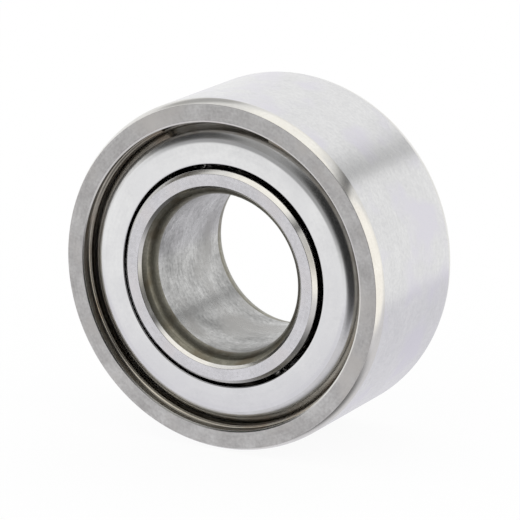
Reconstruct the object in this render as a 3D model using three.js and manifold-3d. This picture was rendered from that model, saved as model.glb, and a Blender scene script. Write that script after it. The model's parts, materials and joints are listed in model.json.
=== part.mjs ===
// Shielded deep-groove miniature ball bearing, 5 x 11 x 5 mm, in millimetres.
// The bearing's axis is +Y and its front face looks along -Y. +Z is up, and the origin is the bearing's centre.
// Two hardened rings run on eight balls in a pressed cage. Each side is closed by a dished steel shield, which a
// sprung wire ring holds in a groove of the outer ring. The shields clear the inner ring, so it turns freely.
import * as THREE from "three";
import { mergeVertices } from "three/addons/utils/BufferGeometryUtils.js";
import Module from "manifold-3d";

// Boundary sizes
const outsideDiameter = 11;
const boreDiameter = 5;
const width = 5;

// Balls and raceways
const ballDiameter = 1.5875;
const ballCount = 8;
const racewayConformity = 0.53; // raceway radius as a share of the ball's diameter
const racewayClearance = 0.015; // between a ball and each raceway
const outerShoulderHeight = 0.28; // from the raceway's bottom to the outer ring's land
const innerShoulderHeight = 0.15; // from the raceway's bottom to the inner ring's land

// Outer ring corners, and the recess that takes a shield
const outerCornerRadial = 0.13;
const outerCornerAxial = 0.34;
const recessWall = 0.69; // wall between the recess and the outside
const recessEdgeRadial = 0.05; // the recess's edge is broken by a flat bevel
const recessEdgeAxial = 0.02;
const recessLipDepth = 0.2;

// Inner ring corners
const boreCornerRadial = 0.36;
const boreCornerAxial = 0.66;
const innerCornerRadial = 0.14;
const innerCornerAxial = 0.12;

// Shields and the sprung wire rings that hold them
const shieldThickness = 0.15;
const shieldFaceDepth = 0.21; // from the bearing's face to the shield's flat
const shieldShoulderWidth = 0.62; // radial width of the shoulder that drops from the flat to the rim
const shieldShoulderAngle = 41; // degrees, where the shoulder is steepest
const shieldRimBend = 0.08; // radius of the bend from the shoulder into the rim
const shieldRimWidth = 0.05;
const shieldRunningGap = 0.14; // between the shield's inner edge and the inner ring
const wireDiameter = 0.28;
const wireBite = 0.2; // how much of the wire's diameter lies in its groove
const wireGapCentre = 94; // degrees round from +X towards +Z
const wireGapAngle = 44; // degrees of the circle left open between the wire's ends
const fitGap = 0.02; // between pieces that are clamped or seated together

// Cage, two pressed ribbons clinched together by ears
const cageThickness = 0.12;
const cageRadialWidth = 0.62;
const cagePocketClearance = 0.08;
const cageLandGap = 0.03; // between the two ribbons
const earThickness = 0.1;
const earWidth = 0.5;
const earFlangeLength = 0.23;
const earGap = 0.03; // between an ear's leg and the ribbon that it wraps
const earRoot = 0.06; // how far an ear's root runs into its own ribbon

// Facets
const ringSegments = 48;
const arcSteps = 4;
const bendSteps = 2;
const wireSides = 8;
const wireSteps = 36;
const ballDetail = 2;
const cageStepsPerBall = 14;

// Sizes that follow from those above
const halfWidth = width / 2;
const outsideRadius = outsideDiameter / 2;
const boreRadius = boreDiameter / 2;
const ballRadius = ballDiameter / 2;
const pitchRadius = (outsideRadius + boreRadius) / 2;
const racewayRadius = racewayConformity * ballDiameter;
const outerRacewayBottom = pitchRadius + ballRadius + racewayClearance;
const innerRacewayBottom = pitchRadius - ballRadius - racewayClearance;
const outerLandRadius = outerRacewayBottom - outerShoulderHeight;
const innerLandRadius = innerRacewayBottom + innerShoulderHeight;
const recessRadius = outsideRadius - recessWall;
const wireCentreRadius = recessRadius + wireBite - wireDiameter / 2;
const wireCentreDepth = recessLipDepth + fitGap + wireDiameter / 2;
const wireGrooveRadius = wireCentreRadius + wireDiameter / 2 + fitGap;
const shieldRimDepth = wireCentreDepth + wireDiameter / 2 + fitGap;
const shieldSeatDepth = shieldRimDepth + shieldThickness + fitGap;
const shieldOuterRadius = recessRadius - fitGap;
const shieldInnerRadius = innerLandRadius + shieldRunningGap;
const shieldShoulderEnd = shieldOuterRadius - shieldRimWidth;
const shieldShoulderStart = shieldShoulderEnd - shieldShoulderWidth;
const cageInnerRadius = pitchRadius - cageRadialWidth / 2;
const cageOuterRadius = pitchRadius + cageRadialWidth / 2;
const pocketRadius = ballRadius + cagePocketClearance;
const ballPitch = (2 * Math.PI) / ballCount;

const finish = (name, color, roughness) =>
  new THREE.MeshStandardMaterial({ name, color, roughness, metalness: 1 });
const ringSteel = finish("ground_ring_steel", 0xc4c5c8, 0.38);
const ballSteel = finish("lapped_ball_steel", 0xd6d7da, 0.08);
const shieldSteel = finish("pressed_shield_steel", 0xd2d3d6, 0.2);
const springSteel = finish("spring_wire_steel", 0xb9b5ac, 0.25);
const cageSteel = finish("pressed_cage_steel", 0xaeb0b2, 0.32);

const point = (radius, axial) => new THREE.Vector2(radius, axial);
const atDepth = (radius, depth) => point(radius, depth - halfWidth); // depth is measured in from the front face

// Points of a circular arc, both ends included. Angles are in radians, from the radial direction towards +Y.
function arc(centreRadial, centreAxial, radius, from, to, steps) {
  return Array.from({ length: steps + 1 }, (_, i) => {
    const angle = from + ((to - from) * i) / steps;
    return point(
      centreRadial + radius * Math.cos(angle),
      centreAxial + radius * Math.sin(angle),
    );
  });
}

// The half of a raceway's arc on the front side, from its bottom to the land. side is +1 for the outer ring's
// raceway and -1 for the inner ring's.
function racewayHalf(bottom, land, side) {
  const centre = bottom - side * racewayRadius;
  const reach = Math.acos((side * (land - centre)) / racewayRadius);
  const points = arc(0, 0, racewayRadius, 0, -reach, arcSteps);
  return points.map((p) => point(centre + side * p.x, p.y));
}

// An arc that leaves a cylinder of the given radius smoothly and meets the face at an edge. side is +1 where the
// metal lies outside the cylinder, as at the bore, and -1 where it lies inside.
function cornerArc(cylinderRadius, radial, axial, side) {
  const radius = (radial * radial + axial * axial) / (2 * radial);
  const sweep = Math.asin(axial / radius);
  const points = arc(0, 0, radius, 0, sweep, arcSteps);
  const centre = cylinderRadius + side * radius;
  return points.map((p) => atDepth(centre - side * p.x, axial - p.y));
}

// Turns the front half of a ring's outline, given from the middle of one wall round the face to the middle of the
// other, into a whole ring.
function turnedRing(frontHalf) {
  const backHalf = frontHalf
    .filter((p) => Math.abs(p.y) > 1e-9)
    .map((p) => point(p.x, -p.y))
    .reverse();
  return new THREE.LatheGeometry([...frontHalf, ...backHalf, frontHalf[0]], ringSegments);
}

function outerRing() {
  const corner = cornerArc(outsideRadius, outerCornerRadial, outerCornerAxial, -1);
  return turnedRing([
    ...racewayHalf(outerRacewayBottom, outerLandRadius, 1),
    atDepth(outerLandRadius, shieldSeatDepth),
    atDepth(recessRadius, shieldSeatDepth),
    atDepth(recessRadius, shieldRimDepth),
    atDepth(wireGrooveRadius, shieldRimDepth),
    atDepth(wireGrooveRadius, recessLipDepth),
    atDepth(recessRadius, recessLipDepth),
    atDepth(recessRadius, recessEdgeAxial),
    atDepth(recessRadius + recessEdgeRadial, 0),
    ...corner.reverse(),
  ]);
}

function innerRing() {
  return turnedRing([
    ...cornerArc(boreRadius, boreCornerRadial, boreCornerAxial, 1),
    atDepth(innerLandRadius - innerCornerRadial, 0),
    atDepth(innerLandRadius, innerCornerAxial),
    ...racewayHalf(innerRacewayBottom, innerLandRadius, -1).reverse(),
  ]);
}

// The shield's front surface as points with the slope there: a flat, a round shoulder, a straight run, a tight bend
// and the rim.
function shieldSurface() {
  const steepest = THREE.MathUtils.degToRad(shieldShoulderAngle);
  const drop = shieldRimDepth - shieldFaceDepth;
  const straight = drop / Math.tan(steepest / 2) - shieldShoulderWidth;
  const bothBends = (shieldShoulderWidth - straight * Math.cos(steepest)) / Math.sin(steepest);
  const shoulderBend = bothBends - shieldRimBend;
  const slopes = Array.from({ length: bendSteps + 1 }, (_, i) => (steepest * i) / bendSteps);
  const shoulder = slopes.map((slope) => ({
    radius: shieldShoulderStart + shoulderBend * Math.sin(slope),
    depth: shieldFaceDepth + shoulderBend * (1 - Math.cos(slope)),
    slope,
  }));
  const rimBend = slopes.reverse().map((slope) => ({
    radius: shieldShoulderEnd - shieldRimBend * Math.sin(slope),
    depth: shieldRimDepth - shieldRimBend * (1 - Math.cos(slope)),
    slope,
  }));
  return [
    { radius: shieldInnerRadius, depth: shieldFaceDepth, slope: 0 },
    ...shoulder,
    ...rimBend,
    { radius: shieldOuterRadius, depth: shieldRimDepth, slope: 0 },
  ];
}

function shield() {
  const outside = shieldSurface().map((p) => atDepth(p.radius, p.depth));
  const inside = shieldSurface()
    .map((p) =>
      atDepth(
        p.radius - shieldThickness * Math.sin(p.slope),
        p.depth + shieldThickness * Math.cos(p.slope),
      ),
    )
    .reverse();
  return new THREE.LatheGeometry([...inside, ...outside, inside[0]], ringSegments);
}

// The centreline of a sprung wire ring, an arc in a plane across the bearing's axis.
class WireLine extends THREE.Curve {
  getPoint(share, target = new THREE.Vector3()) {
    const start = wireGapCentre + wireGapAngle / 2;
    const angle = THREE.MathUtils.degToRad(start + (360 - wireGapAngle) * share);
    const x = wireCentreRadius * Math.cos(angle);
    const z = wireCentreRadius * Math.sin(angle);
    return target.set(x, wireCentreDepth - halfWidth, z);
  }
}

function snapRing() {
  const section = new THREE.Shape();
  for (let i = 0; i < wireSides; i++) {
    const angle = (2 * Math.PI * i) / wireSides;
    const corner = [(wireDiameter / 2) * Math.cos(angle), (wireDiameter / 2) * Math.sin(angle)];
    if (i === 0) section.moveTo(...corner);
    else section.lineTo(...corner);
  }
  return new THREE.ExtrudeGeometry(section, { steps: wireSteps, extrudePath: new WireLine() });
}

// Distance of a pressed ribbon's surface from the middle plane: a sphere over each ball, and flat between them.
function ribbonLevel(radius, angle, sphereRadius, landLevel) {
  const nearest = Math.round(angle / ballPitch) * ballPitch;
  const apart =
    radius * radius +
    pitchRadius * pitchRadius -
    2 * radius * pitchRadius * Math.cos(angle - nearest);
  return Math.max(landLevel, Math.sqrt(Math.max(sphereRadius * sphereRadius - apart, 0)));
}

// One pressed ribbon on the front side, as a closed section swept round the axis.
function ribbon() {
  const stations = ballCount * cageStepsPerBall;
  const radii = [cageInnerRadius, pitchRadius, cageOuterRadius];
  const positions = [];
  for (let i = 0; i < stations; i++) {
    const angle = (2 * Math.PI * i) / stations;
    const inside = radii.map((r) => [r, ribbonLevel(r, angle, pocketRadius, cageLandGap / 2)]);
    const outside = radii
      .map((r) => [
        r,
        ribbonLevel(r, angle, pocketRadius + cageThickness, cageLandGap / 2 + cageThickness),
      ])
      .reverse();
    for (const [r, level] of [...inside, ...outside])
      positions.push(r * Math.cos(angle), -level, r * Math.sin(angle));
  }
  const around = 2 * radii.length;
  const index = [];
  for (let i = 0; i < stations; i++)
    for (let j = 0; j < around; j++) {
      const a = i * around + j;
      const b = i * around + ((j + 1) % around);
      const c = ((i + 1) % stations) * around + ((j + 1) % around);
      const d = ((i + 1) % stations) * around + j;
      index.push(a, c, b, a, d, c);
    }
  const made = new THREE.BufferGeometry();
  made.setAttribute("position", new THREE.Float32BufferAttribute(positions, 3));
  made.setIndex(index);
  return made;
}

// An ear's outline in the radial plane. It leaves the front ribbon's edge, passes the back ribbon's edge and folds
// over it. side is +1 at the ribbons' outer edge and -1 at the inner edge.
function ear(side) {
  const edge = side > 0 ? cageOuterRadius : cageInnerRadius;
  const landTop = cageLandGap / 2 + cageThickness;
  const rootTop = -landTop + fitGap;
  const foldLevel = landTop + fitGap;
  const outline = [
    [-earRoot, rootTop],
    [earGap + earThickness, rootTop],
    [earGap + earThickness, foldLevel + earThickness],
    [-earFlangeLength, foldLevel + earThickness],
    [-earFlangeLength, foldLevel],
    [earGap, foldLevel],
    [earGap, rootTop + earThickness - fitGap],
    [-earRoot, rootTop + earThickness - fitGap],
  ];
  const shape = new THREE.Shape(outline.map(([out, axial]) => point(edge + side * out, axial)));
  const made = new THREE.ExtrudeGeometry(shape, { depth: earWidth, bevelEnabled: false });
  return made.translate(0, 0, -earWidth / 2);
}

const wasm = await Module();
wasm.setup();

function toSolid(geometry) {
  const bare = new THREE.BufferGeometry();
  bare.setAttribute("position", geometry.getAttribute("position"));
  bare.setIndex(geometry.index);
  const merged = mergeVertices(bare, 1e-5);
  return new wasm.Manifold(
    new wasm.Mesh({
      numProp: 3,
      vertProperties: merged.getAttribute("position").array,
      triVerts: new Uint32Array(merged.index.array),
    }),
  );
}

function toGeometry(solid) {
  const mesh = solid.getMesh();
  const made = new THREE.BufferGeometry();
  made.setAttribute("position", new THREE.BufferAttribute(mesh.vertProperties, 3));
  made.setIndex(new THREE.BufferAttribute(mesh.triVerts, 1));
  return made;
}

// The front ribbon with a pair of ears on each of its lands.
function ribbonWithEars() {
  let solid = toSolid(ribbon());
  for (let i = 0; i < ballCount; i++)
    for (const side of [1, -1]) {
      const placed = ear(side).rotateY(-(i + 0.5) * ballPitch);
      solid = solid.add(toSolid(placed));
    }
  return toGeometry(solid);
}

const bearing = new THREE.Group();
bearing.name = "ball_bearing";

function addPiece(name, geometry, material, parent = bearing) {
  const mesh = new THREE.Mesh(geometry, material);
  mesh.name = name;
  parent.add(mesh);
  return mesh;
}

// A piece made for the front, turned over to stand at the back.
function addTurned(name, geometry, material) {
  addPiece(name, geometry, material).rotation.x = Math.PI;
}

addPiece("outer_ring", outerRing(), ringSteel);
addPiece("inner_ring", innerRing(), ringSteel);

addPiece("shield_front", shield(), shieldSteel);
addPiece("snap_ring_front", snapRing(), springSteel);
addTurned("shield_back", shield(), shieldSteel);
addTurned("snap_ring_back", snapRing(), springSteel);

const cage = new THREE.Group();
cage.name = "cage_and_balls";
bearing.add(cage);
addPiece("cage_half_front", ribbonWithEars(), cageSteel, cage);
addPiece("cage_half_back", ribbon(), cageSteel, cage).rotation.x = Math.PI;
for (let i = 0; i < ballCount; i++) {
  const ball = new THREE.IcosahedronGeometry(ballRadius, ballDetail);
  const mesh = addPiece(`ball_${i + 1}`, ball, ballSteel, cage);
  mesh.position.set(
    pitchRadius * Math.cos(i * ballPitch),
    0,
    pitchRadius * Math.sin(i * ballPitch),
  );
}

export default bearing;
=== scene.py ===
import json
import math

import bmesh
import bpy
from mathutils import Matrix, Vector


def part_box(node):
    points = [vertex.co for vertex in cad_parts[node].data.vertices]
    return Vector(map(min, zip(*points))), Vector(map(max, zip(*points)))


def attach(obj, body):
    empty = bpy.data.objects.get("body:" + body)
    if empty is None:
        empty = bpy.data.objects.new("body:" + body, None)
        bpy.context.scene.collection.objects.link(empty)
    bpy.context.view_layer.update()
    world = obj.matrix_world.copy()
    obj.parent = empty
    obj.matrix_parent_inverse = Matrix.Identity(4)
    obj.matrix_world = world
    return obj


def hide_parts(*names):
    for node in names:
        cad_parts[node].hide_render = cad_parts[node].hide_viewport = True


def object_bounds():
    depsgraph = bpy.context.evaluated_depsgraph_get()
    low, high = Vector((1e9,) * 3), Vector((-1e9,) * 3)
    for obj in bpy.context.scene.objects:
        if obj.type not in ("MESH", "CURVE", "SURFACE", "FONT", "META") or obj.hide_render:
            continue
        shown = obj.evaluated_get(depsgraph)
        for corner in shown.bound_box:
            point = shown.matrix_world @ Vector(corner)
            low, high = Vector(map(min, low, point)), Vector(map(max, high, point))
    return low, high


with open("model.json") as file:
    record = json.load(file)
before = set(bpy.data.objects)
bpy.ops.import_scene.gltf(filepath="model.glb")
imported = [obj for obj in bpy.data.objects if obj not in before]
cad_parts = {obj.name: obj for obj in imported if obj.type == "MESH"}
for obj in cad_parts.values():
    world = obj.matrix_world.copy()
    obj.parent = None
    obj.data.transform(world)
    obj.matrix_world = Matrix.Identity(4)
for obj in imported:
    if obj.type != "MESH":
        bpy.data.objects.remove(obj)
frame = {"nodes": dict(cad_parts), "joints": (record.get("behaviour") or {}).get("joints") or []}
cadLow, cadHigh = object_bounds()
print("frame:", len(frame["nodes"]), "nodes")

# Sizes are in millimetres and are turned to metres where a mesh is made.
# The bearing's axis is Y, its front face looks along -Y, and +Z is up.
mm = 0.001


def nodeBox(node):
    low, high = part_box(node)
    return low / mm, high / mm


outsideRadius = nodeBox("outer_ring")[1].x
halfWidth = nodeBox("outer_ring")[1].y
innerLandRadius = nodeBox("inner_ring")[1].x
wireLow, wireHigh = nodeBox("snap_ring_front")
shieldLow, shieldHigh = nodeBox("shield_front")

joints = {joint["name"]: joint for joint in frame["joints"]}
ballCentres = {
    name[: -len("_spin")]: Vector(joint["pos_m"]) / mm
    for name, joint in joints.items()
    if name.startswith("ball_")
}
pitchRadius = ballCentres["ball_1"].length
ballCount = len(ballCentres)
ballPitch = 2 * math.pi / ballCount

# The raceways are drawn round the balls, so both rings and the cage take these.
rolling = {
    "ballDiameter": 1.5875,
    "play": 0.015,  # from a ball to each raceway
    "conformity": 0.53,  # raceway radius as a share of the ball's diameter
    "outerShoulder": 0.28,  # height of the outer ring's lands over the bottom of its raceway
}
ballRadius = rolling["ballDiameter"] / 2
racewayRadius = rolling["conformity"] * rolling["ballDiameter"]
outerRacewayBottom = pitchRadius + ballRadius + rolling["play"]
innerRacewayBottom = pitchRadius - ballRadius - rolling["play"]
outerLandRadius = outerRacewayBottom - rolling["outerShoulder"]


def linear(hexColour):
    channels = [int(hexColour[i : i + 2], 16) / 255 for i in (1, 3, 5)]
    return [c / 12.92 if c <= 0.04045 else ((c + 0.055) / 1.055) ** 2.4 for c in channels] + [1]


def addNode(tree, kind, links=None, **settings):
    node = tree.nodes.new(kind)
    for key, value in settings.items():
        setattr(node, key, value)
    for socket, source in (links or {}).items():
        if isinstance(source, bpy.types.NodeSocket):
            tree.links.new(source, node.inputs[socket])
        else:
            node.inputs[socket].default_value = source
    return node


def direction(azimuth, elevation):
    # azimuth 0 is the front of the bearing, 90 its right-hand side
    a, e = math.radians(azimuth), math.radians(elevation)
    return Vector((math.sin(a) * math.cos(e), -math.cos(a) * math.cos(e), math.sin(e)))


# Light and dark are the ends of a finish's tone, and tint is its stain. Grain, cloud, lineSpacing and
# lineLength are sizes. The real grain and grinding lines are finer than 0.02 mm, too fine to show, so they
# are drawn as coarse as they need.
finishes = {
    # Side face of the outer ring, ground flat between discs: a fine even frost, the greyest ground face
    "groundFaceSteel": {
        "light": "#D8D7D5", "dark": "#BAB8B6", "tint": "#D0CDC9",
        "roughness": 0.42, "spread": 0.12,
        "grain": 0.09, "cloud": 0.8, "lineSpacing": 0.06, "lineLength": 1.2,
        "grainShare": 0.4, "cloudShare": 0.4, "lineShare": 0.2, "bump": 0.3,
    },
    # Side face of the inner ring, ground with a finer wheel: paler, and a little brighter
    "fineGroundFaceSteel": {
        "light": "#E3E2E5", "dark": "#D3D2D4", "tint": "#DDDADB",
        "roughness": 0.27, "spread": 0.08,
        "grain": 0.09, "cloud": 0.7, "lineSpacing": 0.06, "lineLength": 1.2,
        "grainShare": 0.45, "cloudShare": 0.35, "lineShare": 0.2, "bump": 0.2,
    },
    # Outside diameter, centreless ground: satin, with faint lines round it and soft clouds
    "centrelessGroundSteel": {
        "light": "#E2E2E2", "dark": "#D4D4D5", "tint": "#D9D7DE",
        "roughness": 0.22, "spread": 0.06,
        "grain": 0.12, "cloud": 0.9, "lineSpacing": 0.07, "lineLength": 2.5,
        "grainShare": 0.5, "cloudShare": 0.3, "lineShare": 0.2, "bump": 0.25,
    },
    # Rounded outside corners, ground and tumbled smooth: bright enough to carry a clean highlight
    "tumbledCornerSteel": {
        "light": "#E0DFDC", "dark": "#D3D1CD", "tint": "#DAD8D3",
        "roughness": 0.17, "spread": 0.05,
        "grain": 0.08, "cloud": 0.6, "lineSpacing": 0.05, "lineLength": 1.5,
        "grainShare": 0.3, "cloudShare": 0.4, "lineShare": 0.3, "bump": 0.1,
    },
    # Bore, ground and honed: matt, with streaks round it and rubbed patches
    "honedBoreSteel": {
        "light": "#CDCDCC", "dark": "#8F8F8E", "tint": "#A2A19F",
        "roughness": 0.3, "spread": 0.16,
        "grain": 0.11, "cloud": 1.0, "lineSpacing": 0.1, "lineLength": 0.8,
        "grainShare": 0.35, "cloudShare": 0.45, "lineShare": 0.2, "bump": 0.45,
    },
    # Raceways and lands, superfinished: nearly a mirror
    "superfinishedSteel": {
        "light": "#D9D9DB", "dark": "#CCCCCE", "tint": "#D0CCC6",
        "roughness": 0.1, "spread": 0.03,
        "grain": 0.05, "cloud": 0.8, "lineSpacing": 0.03, "lineLength": 2.0,
        "grainShare": 0.2, "cloudShare": 0.4, "lineShare": 0.4, "bump": 0.05,
    },
    # Bore's curved corners, turned and never ground: the olive-brown scale of the hardening furnace, dull
    "hardeningScaleSteel": {
        "light": "#9B988B", "dark": "#737166", "tint": "#7A7364",
        "roughness": 0.36, "spread": 0.12,
        "grain": 0.08, "cloud": 0.4, "lineSpacing": 0.05, "lineLength": 1.5,
        "grainShare": 0.35, "cloudShare": 0.3, "lineShare": 0.35, "bump": 0.35,
    },
    # Recess in the outer ring, turned and never ground: grey-brown and dull, with fine tool lines round it
    "turnedRecessSteel": {
        "light": "#B4B1A9", "dark": "#8A8780", "tint": "#938C80",
        "roughness": 0.34, "spread": 0.12,
        "grain": 0.08, "cloud": 0.4, "lineSpacing": 0.05, "lineLength": 1.5,
        "grainShare": 0.35, "cloudShare": 0.3, "lineShare": 0.35, "bump": 0.35,
    },
    # Shield, pressed from bright cold-rolled strip: smooth and clean, a little orange peel
    "pressedShieldSteel": {
        "light": "#E6E6E6", "dark": "#DDDDDE", "tint": "#E0E0E1",
        "roughness": 0.14, "spread": 0.05,
        "grain": 0.12, "cloud": 0.9, "lineSpacing": 0.09, "lineLength": 2.0,
        "grainShare": 0.3, "cloudShare": 0.5, "lineShare": 0.2, "bump": 0.12,
    },
    # Shield's shoulder, stretched by the press: the same strip with a satin pull that softens what it mirrors
    "stretchedShieldSteel": {
        "light": "#E1E1E1", "dark": "#D4D4D3", "tint": "#D8D7D5",
        "roughness": 0.22, "spread": 0.08,
        "grain": 0.1, "cloud": 0.6, "lineSpacing": 0.07, "lineLength": 1.2,
        "grainShare": 0.35, "cloudShare": 0.35, "lineShare": 0.3, "bump": 0.15,
    },
    # Shield's rim, down in the recess below the wire: grey-brown and almost matt, a colour darkened as
    # painted shade for that recess
    "greasyRimSteel": {
        "light": "#B3AFA8", "dark": "#8B8780", "tint": "#948C82",
        "roughness": 0.42, "spread": 0.14,
        "grain": 0.07, "cloud": 0.4, "lineSpacing": 0.05, "lineLength": 1.0,
        "grainShare": 0.3, "cloudShare": 0.3, "lineShare": 0.4, "bump": 0.2,
    },
    # Snap ring, hard-drawn spring wire with draw lines along it; its colour is darkened as painted shade for
    # the groove under the lip that it lies in
    "drawnWireSteel": {
        "light": "#BDB8AD", "dark": "#9A948A", "tint": "#A69A8B",
        "roughness": 0.2, "spread": 0.08,
        "grain": 0.06, "cloud": 0.5, "lineSpacing": 0.03, "lineLength": 1.5,
        "grainShare": 0.2, "cloudShare": 0.3, "lineShare": 0.5, "bump": 0.2,
    },
    # Cage, pressed from soft strip: dull, with small dents; its dark colour is painted shade for the shade
    # inside the bearing between the rings
    "pressedCageSteel": {
        "light": "#85827C", "dark": "#65625D", "tint": "#6C6459",
        "roughness": 0.44, "spread": 0.12,
        "grain": 0.1, "cloud": 0.5, "lineSpacing": 0.06, "lineLength": 0.8,
        "grainShare": 0.5, "cloudShare": 0.3, "lineShare": 0.2, "bump": 0.4,
    },
    # Balls, lapped: a smooth sheen with next to no marks; their dark colour is painted shade for the shade
    # inside the bearing between the rings
    "lappedBallSteel": {
        "light": "#8F8D89", "dark": "#7F7D79", "tint": "#867F75",
        "roughness": 0.2, "spread": 0.06,
        "grain": 0.05, "cloud": 0.5, "lineSpacing": 0.05, "lineLength": 0.5,
        "grainShare": 0.4, "cloudShare": 0.4, "lineShare": 0.2, "bump": 0.02,
    },
}


toneRange = {"From Min": 0.36, "From Max": 0.64}  # beyond these the tone keeps its end value
stainRange = {"From Min": 0.5, "From Max": 0.66}
stainSize = 1.7  # times the clouds
bumpHeight = 0.01


def perMetre(size):
    return 1 / (size * mm)


def steel(name):
    look = finishes[name]
    material = bpy.data.materials.new(name)
    material.use_nodes = True
    tree = material.node_tree
    tree.nodes.clear()
    place = addNode(tree, "ShaderNodeTexCoord").outputs["Object"]
    axes = addNode(tree, "ShaderNodeSeparateXYZ", {0: place}).outputs
    flat = addNode(tree, "ShaderNodeCombineXYZ", {"X": axes["X"], "Z": axes["Z"]}).outputs[0]
    radius = addNode(tree, "ShaderNodeVectorMath", {0: flat}, operation="LENGTH").outputs["Value"]

    grain = addNode(
        tree, "ShaderNodeTexNoise",
        {"Vector": place, "Scale": perMetre(look["grain"]), "Detail": 3, "Roughness": 0.6},
    ).outputs[0]
    cloud = addNode(
        tree, "ShaderNodeTexNoise",
        {"Vector": place, "Scale": perMetre(look["cloud"]), "Detail": 3, "Roughness": 0.55},
    ).outputs[0]
    # Grinding lines run round the axis, so the noise is stretched that way and fine along axis and radius.
    along, across = perMetre(look["lineLength"]), perMetre(look["lineSpacing"])
    stretched = addNode(
        tree, "ShaderNodeVectorMath", {0: place, 1: (along, across, along)}, operation="MULTIPLY"
    ).outputs[0]
    outward = addNode(tree, "ShaderNodeMath", {0: radius, 1: across}, operation="MULTIPLY").outputs[0]
    lines = addNode(
        tree, "ShaderNodeTexNoise",
        {"Vector": stretched, "W": outward, "Scale": 1, "Detail": 2, "Roughness": 0.6},
        noise_dimensions="4D",
    ).outputs[0]

    shares = ((grain, "grainShare"), (cloud, "cloudShare"), (lines, "lineShare"))
    tone = 0.0
    for pattern, share in shares:
        tone = addNode(
            tree, "ShaderNodeMath", {0: pattern, 1: look[share], 2: tone}, operation="MULTIPLY_ADD"
        ).outputs[0]
    contrast = addNode(tree, "ShaderNodeMapRange", {"Value": tone, **toneRange}).outputs[0]
    steelColour = addNode(
        tree, "ShaderNodeMix", {0: contrast, 6: linear(look["dark"]), 7: linear(look["light"])},
        data_type="RGBA",
    ).outputs[2]
    stain = addNode(
        tree, "ShaderNodeTexNoise",
        {"Vector": place, "Scale": perMetre(look["cloud"] * stainSize), "Detail": 2},
    ).outputs[0]
    stained = addNode(tree, "ShaderNodeMapRange", {"Value": stain, **stainRange}).outputs[0]
    colour = addNode(
        tree, "ShaderNodeMix", {0: stained, 6: steelColour, 7: linear(look["tint"])},
        data_type="RGBA",
    ).outputs[2]
    roughness = addNode(
        tree, "ShaderNodeMapRange",
        {
            "Value": tone, **toneRange,
            "To Min": look["roughness"] + look["spread"] / 2,
            "To Max": look["roughness"] - look["spread"] / 2,
        },
    ).outputs[0]
    bump = addNode(
        tree, "ShaderNodeBump",
        {"Height": tone, "Strength": look["bump"], "Distance": bumpHeight * mm},
    ).outputs[0]
    shader = addNode(
        tree, "ShaderNodeBsdfPrincipled",
        {"Base Color": colour, "Metallic": 1.0, "Roughness": roughness, "Normal": bump},
    ).outputs[0]
    addNode(tree, "ShaderNodeOutputMaterial", {"Surface": shader})
    return material


materials = {name: steel(name) for name in finishes}
print("steel finishes:", len(materials))


def arc(centreRadius, centreAxial, radius, fromAngle, toAngle, steps):
    angles = [math.radians(fromAngle + (toAngle - fromAngle) * i / steps) for i in range(steps + 1)]
    return [(centreRadius + radius * math.cos(a), centreAxial + radius * math.sin(a)) for a in angles]


roundingSteps = 4
roundingShare = 0.4  # most of a side that one corner's rounding may take
roundingGuard = 1.15  # where the extra point each side of a rounding stands, to keep the flats' shading flat
straightEnough = 0.02  # radians


# Rounds the corners of a closed outline. Each corner is (radius, axial, rounding, finish), and the finish is
# that of the surface from that corner to the next.
def rounded(corners):
    points = []
    for i, (r, y, rounding, finish) in enumerate(corners):
        here = Vector((r, y))
        before = Vector(corners[i - 1][:2]) - here
        after = Vector(corners[(i + 1) % len(corners)][:2]) - here
        bend = math.pi - before.angle(after)
        if rounding == 0 or bend < straightEnough:
            points.append((r, y, finish))
            continue
        shortest = min(before.length, after.length)
        reach = min(rounding * math.tan(bend / 2), roundingShare * shortest)
        back, on = before.normalized() * reach, after.normalized() * reach
        start, end = here + back, here + on
        points.append((*(here + back * roundingGuard), corners[i - 1][3]))
        for k in range(roundingSteps + 1):
            t = k / roundingSteps
            mid = start * (1 - t) ** 2 + here * 2 * t * (1 - t) + end * t**2
            points.append((*mid, finish if t >= 0.5 else corners[i - 1][3]))
        points.append((*(here + on * roundingGuard), finish))
    return points


sharpEdge = 35  # degrees between two faces, from where the edge is shaded sharp


def makeObject(name, points, faces, faceFinishes):
    finishNames = sorted(set(faceFinishes))
    mesh = bpy.data.meshes.new(name)
    built = bmesh.new()
    verts = [built.verts.new(Vector(p) * mm) for p in points]
    for corners, finish in zip(faces, faceFinishes):
        face = built.faces.new([verts[c] for c in corners])
        face.smooth = True
        face.material_index = finishNames.index(finish)
    bmesh.ops.recalc_face_normals(built, faces=built.faces)
    for edge in built.edges:
        edge.smooth = edge.calc_face_angle(0) < math.radians(sharpEdge)
    built.to_mesh(mesh)
    built.free()
    for finish in finishNames:
        mesh.materials.append(materials[finish])
    made = bpy.data.objects.new(name, mesh)
    bpy.context.scene.collection.objects.link(made)
    return made


# Joins closed sections of equal length into a skin. A joined sweep runs back into its first section, and an
# open one is closed by a flat cap at each end. sectionFinishes holds the finish after each section point.
def sweep(name, sections, sectionFinishes, joined):
    count, around = len(sections), len(sections[0])
    points = [p for section in sections for p in section]
    faces, faceFinishes = [], []
    for i in range(count if joined else count - 1):
        for j in range(around):
            k = (j + 1) % around
            a, b = i * around, ((i + 1) % count) * around
            faces.append((a + j, a + k, b + k, b + j))
            faceFinishes.append(sectionFinishes[j])
    if not joined:
        faces += [tuple(range(around)), tuple((count - 1) * around + j for j in range(around))]
        faceFinishes += [sectionFinishes[0]] * 2
    return makeObject(name, points, faces, faceFinishes)


def aroundAxis(radius, axial, angle):
    return (radius * math.cos(angle), axial, radius * math.sin(angle))


turningSteps = 256


def turned(name, outline):
    angles = [2 * math.pi * i / turningSteps for i in range(turningSteps)]
    sections = [[aroundAxis(r, y, angle) for r, y, finish in outline] for angle in angles]
    return sweep(name, sections, [finish for r, y, finish in outline], joined=True)


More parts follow.
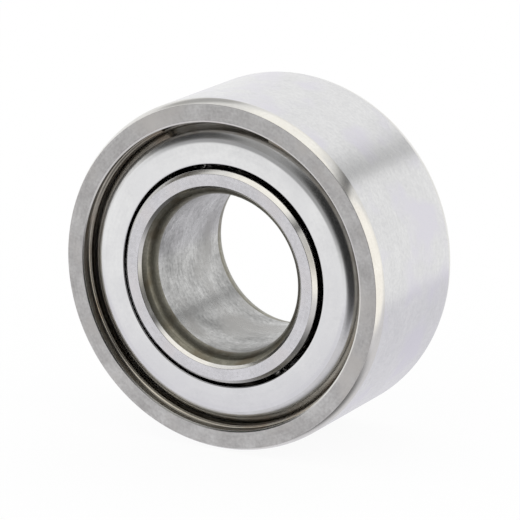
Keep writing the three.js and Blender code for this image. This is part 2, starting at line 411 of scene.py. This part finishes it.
# Completes a front half outline, given from the middle of one wall round the face to the middle of the other.
def bothSides(frontHalf):
    back = []
    for i in range(len(frontHalf) - 1, -1, -1):
        r, y, rounding, finish = frontHalf[i]
        if abs(y) > 1e-9:
            back.append((r, -y, rounding, frontHalf[i - 1][3] if i else finish))
    return frontHalf + back


def place(piece, body, node, slot):
    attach(piece, body)
    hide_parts(node)
    return piece


# Turns a piece made for the front over, to stand at the back.
def turnOver(piece):
    for vertex in piece.data.vertices:
        vertex.co.y, vertex.co.z = -vertex.co.y, -vertex.co.z
    return piece


camera = {
    "azimuth": 29.09, "elevation": 15.1,  # degrees
    "aim": (1.036, -1.76, 0.529), "distance": 102.6,
    "lens": 234.3, "sensor": 36,
}


def addCamera():
    data = bpy.data.cameras.new("camera")
    data.lens, data.sensor_width = camera["lens"], camera["sensor"]
    data.clip_start, data.clip_end = 1 * mm, 10
    made = bpy.data.objects.new("camera", data)
    back = direction(camera["azimuth"], camera["elevation"])
    made.location = (Vector(camera["aim"]) + back * camera["distance"]) * mm
    made.rotation_euler = (-back).to_track_quat("-Z", "Y").to_euler()
    bpy.context.scene.collection.objects.link(made)
    bpy.context.scene.camera = made
    bpy.context.scene.view_settings.view_transform = "Standard"


floor = {"halfSide": 3000, "white": "#FFFFFF", "glow": 0.92}


def addFloor():
    side, low = floor["halfSide"], cadLow.z / mm
    corners = [(-side, -side, low), (side, -side, low), (side, side, low), (-side, side, low)]
    mesh = bpy.data.meshes.new("floor")
    mesh.from_pydata([Vector(c) * mm for c in corners], [], [(0, 1, 2, 3)])
    made = bpy.data.objects.new("floor", mesh)
    bpy.context.scene.collection.objects.link(made)
    # A lit acrylic table top: it glows evenly, so only the faintest shadow lies on it.
    material = bpy.data.materials.new("litTableTop")
    material.use_nodes = True
    tree = material.node_tree
    tree.nodes.clear()
    white = linear(floor["white"])
    matt = addNode(tree, "ShaderNodeBsdfDiffuse", {"Color": white}).outputs[0]
    glow = addNode(tree, "ShaderNodeEmission", {"Color": white}).outputs[0]
    both = addNode(tree, "ShaderNodeMixShader", {0: floor["glow"], 1: matt, 2: glow}).outputs[0]
    addNode(tree, "ShaderNodeOutputMaterial", {"Surface": both})
    mesh.materials.append(material)
    made.visible_glossy = False  # the steel mirrors the studio's table top instead


# What the steel reflects: a white tent, the room that shows through its open front, its lamps, and a painted
# shadow of the bearing on the table top below it. Each patch is a round spot with a soft rim, laid over the
# ones before it. Angles are degrees, and level is its brightness.
studio = {
    "tableTop": {
        "azimuth": 0, "elevation": -90, "radius": 71.5, "soft": 3, "colour": "#F7F6FB", "level": 0.87,
    },
    # a painted shadow: the bearing's shadow on the table top, darkening the reflected floor near straight
    # down
    "underTable": {
        "azimuth": 70, "elevation": -76, "radius": 8, "soft": 36, "colour": "#FFFFFF", "level": 0.14,
    },
    "openFrontLeft": {
        "azimuth": -16, "elevation": 19, "radius": 27, "soft": 7, "colour": "#FFFFFF", "level": 0.4,
    },
    "openFrontRight": {
        "azimuth": 24, "elevation": 19, "radius": 27, "soft": 7, "colour": "#FFFFFF", "level": 0.4,
    },
    "leftFlap": {
        "azimuth": -46, "elevation": 24, "radius": 13, "soft": 9, "colour": "#FFFFFF", "level": 0.05,
    },
    "backOfTent": {
        "azimuth": -133, "elevation": 38, "radius": 8, "soft": 12, "colour": "#FFFFFF", "level": 0.5,
    },
    "rightLamp": {
        "azimuth": 95, "elevation": 3, "radius": 26, "soft": 12, "colour": "#FFFCF6", "level": 1.3,
    },
    "topLamp": {
        "azimuth": 40, "elevation": 76, "radius": 24, "soft": 8, "colour": "#FFFDF8", "level": 1.25,
    },
    "backLamp": {
        "azimuth": 165, "elevation": 70, "radius": 16, "soft": 8, "colour": "#FFFEFA", "level": 1.25,
    },
    "camera": {
        "azimuth": 31, "elevation": 6, "radius": 27, "soft": 15, "colour": "#FFFFFF", "level": 0.03,
    },
}

# The tent's upper seam on the right: a dark line, sharp along its lower side, that runs from front to back.
# Below and above are its widths, as shares of the direction across it.
seam = {
    "across": (0.638, 0.12, -0.76), "middle": (0.763, 0.1, 0.638),
    "halfLength": 50, "fade": 10,  # degrees
    "below": 0.05, "above": 0.26, "level": 0.1,
}


def addStudio():
    world = bpy.data.worlds.new("studio")
    bpy.context.scene.world = world
    world.cycles.sampling_method = "NONE"
    world.use_nodes = True
    tree = world.node_tree
    tree.nodes.clear()
    towards = addNode(tree, "ShaderNodeTexCoord").outputs["Generated"]

    # 0 where the direction's share along an axis is at outer, and 1 where it is at inner
    def ramp(axis, outer, inner):
        share = addNode(
            tree, "ShaderNodeVectorMath", {0: towards, 1: axis}, operation="DOT_PRODUCT"
        ).outputs["Value"]
        return addNode(
            tree, "ShaderNodeMapRange", {"Value": share, "From Min": outer, "From Max": inner},
            interpolation_type="SMOOTHSTEP",
        ).outputs[0]

    def spot(middle, radius, soft):
        return ramp(middle, math.cos(math.radians(radius + soft)), math.cos(math.radians(radius)))

    layers = []
    for patch in studio.values():
        colour = [c * patch["level"] for c in linear(patch["colour"])[:3]] + [1]
        middle = direction(patch["azimuth"], patch["elevation"])
        layers.append((spot(middle, patch["radius"], patch["soft"]), colour))
    dark = spot(seam["middle"], seam["halfLength"], seam["fade"])
    for outer in (seam["below"], -seam["above"]):
        side = ramp(seam["across"], outer, 0)
        dark = addNode(tree, "ShaderNodeMath", {0: dark, 1: side}, operation="MULTIPLY").outputs[0]
    layers.append((dark, [seam["level"]] * 3 + [1]))

    seen = (1, 1, 1, 1)
    for share, colour in layers:
        seen = addNode(
            tree, "ShaderNodeMix", {0: share, 6: seen, 7: colour}, data_type="RGBA"
        ).outputs[2]
    reflected = addNode(tree, "ShaderNodeBackground", {"Color": seen}).outputs[0]
    plain = addNode(tree, "ShaderNodeBackground", {"Color": (1, 1, 1, 1)}).outputs[0]
    glossy = addNode(tree, "ShaderNodeLightPath").outputs["Is Glossy Ray"]
    both = addNode(tree, "ShaderNodeMixShader", {0: glossy, 1: plain, 2: reflected}).outputs[0]
    addNode(tree, "ShaderNodeOutputWorld", {"Surface": both})


addCamera()
addFloor()
addStudio()
print("camera, floor and studio")


# Where a depth below the front face lies on the axis.
def level(depth):
    return depth - halfWidth


outerRing = {
    "cornerRadial": 0.13, "cornerAxial": 0.34, "cornerSweep": 24,  # degrees that the corner turns through
    "recessWall": 0.69, "edgeRadial": 0.05, "edgeAxial": 0.02,
    "lipDepth": 0.2, "grooveDepth": 0.22, "grooveEnd": 0.52, "seatDepth": 0.69,
}


# A curve between two points of an outline that turns through sweepAngle, bulging to the left of its way.
def bulge(start, end, sweepAngle, steps):
    start, end = Vector(start), Vector(end)
    chord = end - start
    half = math.radians(sweepAngle) / 2
    rise = chord.length / 2 * math.tan(half / 2)
    side = Vector((-chord.y, chord.x)).normalized()
    top = (start + end) / 2 + side * rise
    control = top * 2 - (start + end) / 2
    shares = [i / steps for i in range(steps + 1)]
    return [start * (1 - t) ** 2 + control * 2 * t * (1 - t) + end * t * t for t in shares]


# From the raceway's bottom forward to the land. side is 1 for the outer ring and -1 for the inner.
def racewayHalf(bottom, land, side, steps=12):
    centre = bottom - side * racewayRadius
    reach = math.acos(side * (land - centre) / racewayRadius)
    angles = [-reach * i / steps for i in range(steps + 1)]
    return [
        (centre + side * racewayRadius * math.cos(a), racewayRadius * math.sin(a), 0, "superfinishedSteel")
        for a in angles
    ]


def addOuterRing():
    o = outerRing
    recess = outsideRadius - o["recessWall"]
    grooveRadius = recess + o["grooveDepth"]
    corner = bulge(
        (outsideRadius - o["cornerRadial"], level(0)), (outsideRadius, level(o["cornerAxial"])),
        -o["cornerSweep"], 8,
    )
    half = racewayHalf(outerRacewayBottom, outerLandRadius, 1) + [
        (outerLandRadius, level(o["seatDepth"]), 0.03, "turnedRecessSteel"),
        (recess, level(o["seatDepth"]), 0.02, "turnedRecessSteel"),
        (recess, level(o["grooveEnd"]), 0.01, "turnedRecessSteel"),
        (grooveRadius, level(o["grooveEnd"]), 0.05, "turnedRecessSteel"),
        (grooveRadius, level(o["lipDepth"]), 0.05, "turnedRecessSteel"),
        (recess, level(o["lipDepth"]), 0.015, "turnedRecessSteel"),
        (recess, level(o["edgeAxial"]), 0.01, "tumbledCornerSteel"),
        (recess + o["edgeRadial"], level(0), 0.02, "groundFaceSteel"),
    ]
    half += [(p.x, p.y, 0.02 if i == 0 else 0, "tumbledCornerSteel") for i, p in enumerate(corner[:-1])]
    half += [(corner[-1].x, corner[-1].y, 0.05, "centrelessGroundSteel")]
    half += [(outsideRadius, 0, 0, "centrelessGroundSteel")]
    place(turned("outerRing", rounded(bothSides(half))), "outer", "outer_ring", "ring_steel")


addOuterRing()
print("outer ring")


innerRing = {
    "boreRadius": 2.5, "boreCornerRadial": 0.36, "boreCornerAxial": 0.66,
    "edgeRadial": 0.09, "edgeAxial": 0.1,
    "curveFrom": 0.2,  # depth where the ground edge has given way to the curve
    "cornerRadial": 0.12, "cornerAxial": 0.14,
}


def addInnerRing():
    n = innerRing
    radial, axial = n["boreCornerRadial"], n["boreCornerAxial"]
    radius = (radial**2 + axial**2) / (2 * radial)
    faceRadius = n["boreRadius"] + radial
    turn = math.degrees(math.asin(axial / radius))
    # the ground edge of the bore's corner is bright, and its turned curve is not
    curve = [(n["boreRadius"] + radius - r, axial - y) for r, y in arc(0, 0, radius, 0, turn, 24)]
    curve = [(r, depth) for r, depth in curve if depth > n["curveFrom"]]
    half = [(n["boreRadius"], 0, 0, "honedBoreSteel")]
    half += [(r, level(depth), 0, "hardeningScaleSteel") for r, depth in curve]
    half += [
        (faceRadius - n["edgeRadial"], level(n["edgeAxial"]), 0.02, "tumbledCornerSteel"),
        (faceRadius, level(0), 0.02, "fineGroundFaceSteel"),
        (innerLandRadius - n["cornerRadial"], level(0), 0.02, "tumbledCornerSteel"),
        (innerLandRadius, level(n["cornerAxial"]), 0.04, "superfinishedSteel"),
    ]
    half += racewayHalf(innerRacewayBottom, innerLandRadius, -1)[::-1]
    place(turned("innerRing", rounded(bothSides(half))), "inner", "inner_ring", "ring_steel")


addInnerRing()
print("inner ring")


shield = {
    "thickness": 0.15, "shoulderWidth": 0.62, "shoulderAngle": 41,  # degrees where the shoulder is steepest
    "rimBend": 0.08, "rimWidth": 0.05, "runningGap": 0.14, "edgeRounding": 0.04,
    "stretchFrom": 4.24, "greaseFrom": 4.58,  # radii where these finishes start
    "shoulderSteps": 12, "rimSteps": 6,
}


def shieldFinish(radius):
    if radius < shield["stretchFrom"]:
        return "pressedShieldSteel"
    # outward from the last of these radii the rim's finish is darkened as painted shade
    return "stretchedShieldSteel" if radius < shield["greaseFrom"] else "greasyRimSteel"


# The outside is a flat, a round shoulder, a straight run and a bend into the rim. The inside follows it, one
# thickness behind.
def shieldOutline():
    s = shield
    faceDepth, rimDepth = shieldLow.y, shieldHigh.y - s["thickness"]
    inner, outer = innerLandRadius + s["runningGap"], shieldHigh.x
    steepest = math.radians(s["shoulderAngle"])
    straight = (rimDepth - faceDepth) / math.tan(steepest / 2) - s["shoulderWidth"]
    bothBends = (s["shoulderWidth"] - straight * math.cos(steepest)) / math.sin(steepest)
    shoulderBend = bothBends - s["rimBend"]
    rimStart = outer - s["rimWidth"]
    shoulderStart = rimStart - s["shoulderWidth"]
    surface = [(inner, faceDepth, 0)]
    for i in range(s["shoulderSteps"] + 1):
        slope = steepest * i / s["shoulderSteps"]
        surface.append((
            shoulderStart + shoulderBend * math.sin(slope),
            faceDepth + shoulderBend * (1 - math.cos(slope)), slope,
        ))
    for i in range(s["rimSteps"] + 1):
        slope = steepest * (1 - i / s["rimSteps"])
        surface.append((
            rimStart - s["rimBend"] * math.sin(slope),
            rimDepth - s["rimBend"] * (1 - math.cos(slope)), slope,
        ))
    surface.append((outer, rimDepth, 0))
    thick = s["thickness"]
    outside = [(r, y, 0, shieldFinish(r)) for r, y, slope in surface]
    inside = [
        (r - thick * math.sin(slope), y + thick * math.cos(slope), 0, "pressedShieldSteel")
        for r, y, slope in surface
    ]
    corners = outside + inside[::-1]
    for i in (0, len(outside) - 1, len(outside), len(corners) - 1):
        r, y, _, finish = corners[i]
        corners[i] = (r, y, s["edgeRounding"], finish)
    return rounded(corners)


def addShields():
    place(turned("shieldFront", shieldOutline()), "outer", "shield_front", "shield_steel")
    place(turnOver(turned("shieldBack", shieldOutline())), "outer", "shield_back", "shield_steel")


addShields()
print("shields")


snapRing = {"gapCentre": 94, "gapAngle": 44, "endRounding": 0.03, "steps": 220, "sides": 20}


def wireRing(name):
    w = snapRing
    wireRadius = (wireHigh.y - wireLow.y) / 2
    centreRadius = max(wireHigh.x, -wireLow.x) - wireRadius
    depth = (wireHigh.y + wireLow.y) / 2
    start = math.radians(w["gapCentre"] + w["gapAngle"] / 2)
    whole = math.radians(360 - w["gapAngle"])
    # turn along the wire and its radius there: each end is broken by a small rounding in two steps
    ease = w["endRounding"] / centreRadius
    stops = [(0, wireRadius - w["endRounding"]), (ease * 0.3, wireRadius - w["endRounding"] * 0.3)]
    stops += [(ease + (whole - 2 * ease) * i / w["steps"], wireRadius) for i in range(w["steps"] + 1)]
    stops += [(whole - turn, radius) for turn, radius in stops[1::-1]]
    sections = []
    for turn, radius in stops:
        circle = arc(centreRadius, depth, radius, 0, 360 - 360 / w["sides"], w["sides"] - 1)
        sections.append([aroundAxis(r, y, start + turn) for r, y in circle])
    # the wire's finish is darkened as painted shade
    return sweep(name, sections, ["drawnWireSteel"] * w["sides"], joined=False)


def addSnapRings():
    place(wireRing("snapRingFront"), "outer", "snap_ring_front", "spring_steel")
    place(turnOver(wireRing("snapRingBack")), "outer", "snap_ring_back", "spring_steel")


addSnapRings()
print("snap rings")


ball = {"facets": 20}  # along each edge of the cube that a ball is made from


def addBalls():
    for node, centre in ballCentres.items():
        built = bmesh.new()
        bmesh.ops.create_cube(built, size=2)
        bmesh.ops.subdivide_edges(built, edges=built.edges, cuts=ball["facets"] - 1, use_grid_fill=True)
        for vertex in built.verts:
            # even out the facets before they are pushed out to the sphere
            spread = Vector([math.tan(c * math.pi / 4) for c in vertex.co])
            vertex.co = (centre + spread.normalized() * ballRadius) * mm
        for face in built.faces:
            face.smooth = True
        mesh = bpy.data.meshes.new(node)
        built.to_mesh(mesh)
        built.free()
        # the balls' finish is darkened as painted shade
        mesh.materials.append(materials["lappedBallSteel"])
        made = bpy.data.objects.new(node.replace("_", ""), mesh)
        bpy.context.scene.collection.objects.link(made)
        place(made, node, node, "ball_steel")


addBalls()
print("balls")


cage = {
    "thickness": 0.12, "radialWidth": 0.62, "pocketClearance": 0.08, "landGap": 0.03,
    "stepsPerBall": 48, "bendRounding": 0.06,
    "earThickness": 0.1, "earWidth": 0.5, "earFlange": 0.23, "earGap": 0.03, "earRoot": 0.06,
    "seatGap": 0.02,
}


# Level of a pressed ribbon's surface: a sphere over each ball and flat between them, with a rounded bend
# where they meet.
def ribbonLevel(radius, angle, sphereRadius, landLevel):
    nearest = round(angle / ballPitch) * ballPitch
    apart = radius**2 + pitchRadius**2 - 2 * radius * pitchRadius * math.cos(angle - nearest)
    sphere = math.sqrt(max(sphereRadius**2 - apart, 0))
    bend = cage["bendRounding"]
    blend = max(bend - abs(sphere - landLevel), 0) / bend
    return max(sphere, landLevel) + blend**2 * bend / 4


def ribbon(name):
    c = cage
    inner = pitchRadius - c["radialWidth"] / 2
    radii = [inner + c["radialWidth"] * share for share in (0, 0.04, 0.25, 0.5, 0.75, 0.96, 1)]
    trim = [0.03, 0.005, 0, 0, 0, 0.005, 0.03]  # the sheared edges are slightly rounded
    pocket, land = ballRadius + c["pocketClearance"], c["landGap"] / 2
    thick = c["thickness"]
    count = ballCount * c["stepsPerBall"]
    sections = []
    for i in range(count):
        angle = 2 * math.pi * i / count
        inside = [(r, ribbonLevel(r, angle, pocket, land) + t) for r, t in zip(radii, trim)]
        outside = [
            (r, ribbonLevel(r, angle, pocket + thick, land + thick) - t) for r, t in zip(radii, trim)
        ]
        sections.append([aroundAxis(r, -y, angle) for r, y in inside + outside[::-1]])
    # the cage's finish is darkened as painted shade
    return sweep(name, sections, ["pressedCageSteel"] * len(sections[0]), joined=True)


# Each ear folds from the front ribbon over the back one, inside and outside the ring of balls.
def ears():
    c = cage
    landTop = c["landGap"] / 2 + c["thickness"]
    rootTop, fold = -landTop + c["seatGap"], landTop + c["seatGap"]
    reach, thick = c["earGap"] + c["earThickness"], c["earThickness"]
    # the cage's finish is darkened as painted shade
    finish = "pressedCageSteel"
    made = []
    for side in (1, -1):
        edge = pitchRadius + side * c["radialWidth"] / 2
        outline = rounded([
            (edge - side * c["earRoot"], rootTop, 0, finish),
            (edge + side * reach, rootTop, 0.05, finish),
            (edge + side * reach, fold + thick, 0.09, finish),
            (edge - side * c["earFlange"], fold + thick, 0.02, finish),
            (edge - side * c["earFlange"], fold, 0.02, finish),
            (edge + side * c["earGap"], fold, 0.02, finish),
            (edge + side * c["earGap"], rootTop + thick - c["seatGap"], 0.02, finish),
            (edge - side * c["earRoot"], rootTop + thick - c["seatGap"], 0, finish),
        ])
        for i in range(ballCount):
            angle = (i + 0.5) * ballPitch
            radial = Vector((math.cos(angle), 0, math.sin(angle)))
            tangent = Vector((-math.sin(angle), 0, math.cos(angle)))
            sections = [
                [radial * r + Vector((0, y, 0)) + tangent * shift for r, y, _ in outline]
                for shift in (-c["earWidth"] / 2, c["earWidth"] / 2)
            ]
            made.append(sweep("ear", sections, [finish] * len(outline), joined=False))
    return made


def addCage():
    front = ribbon("cageHalfFront")
    for ear in ears():
        join = front.modifiers.new("clinch", "BOOLEAN")
        join.operation, join.object, join.solver = "UNION", ear, "EXACT"
        bpy.context.view_layer.objects.active = front
        bpy.ops.object.modifier_apply(modifier=join.name)
        bpy.data.objects.remove(ear)
    place(front, "cage", "cage_half_front", "cage_steel")
    place(turnOver(ribbon("cageHalfBack")), "cage", "cage_half_back", "cage_steel")


addCage()
print("cage")
